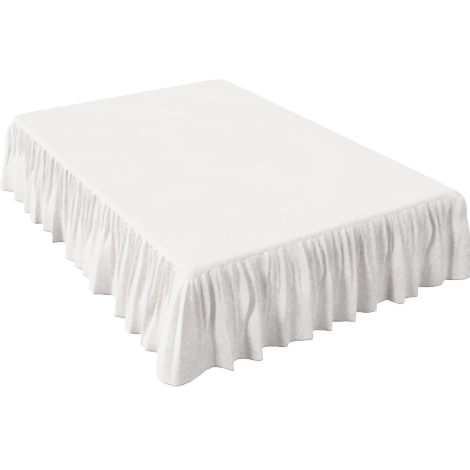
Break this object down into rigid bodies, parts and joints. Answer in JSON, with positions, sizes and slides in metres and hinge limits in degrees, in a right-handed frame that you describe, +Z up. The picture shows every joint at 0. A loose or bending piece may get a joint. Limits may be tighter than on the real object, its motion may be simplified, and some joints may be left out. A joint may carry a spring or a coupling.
{
  "type": "gathered bed skirt on a bed base",
  "caption": "Gathered bed skirt: a flat platform panel over a plain bed base, with a long ruffle sewn round its edge that falls in uneven folds to the floor.",
  "frame": {"origin": "on the floor under the middle of the bed", "axes": "+Z up; the bed's length runs along Y with its foot end at -Y; +X across the bed"},
  "size_m": [1.6182, 2.23, 0.425],
  "materials": {
    "panel_cloth": "plain woven linen and cotton, off-white",
    "ruffle_cloth": "slubby woven linen and cotton, off-white",
    "base_cover": "plain ticking",
    "leg_wood": "oiled beech"
  },
  "bodies": {
    "root": {"platform_panel": "panel_cloth", "ruffle_foot": "ruffle_cloth", "ruffle_right": "ruffle_cloth", "ruffle_head": "ruffle_cloth", "ruffle_left": "ruffle_cloth", "bed_base": "base_cover", "leg_1": "leg_wood", "leg_2": "leg_wood", "leg_3": "leg_wood", "leg_4": "leg_wood", "leg_5": "leg_wood", "leg_6": "leg_wood"}
  },
  "joints": []
}
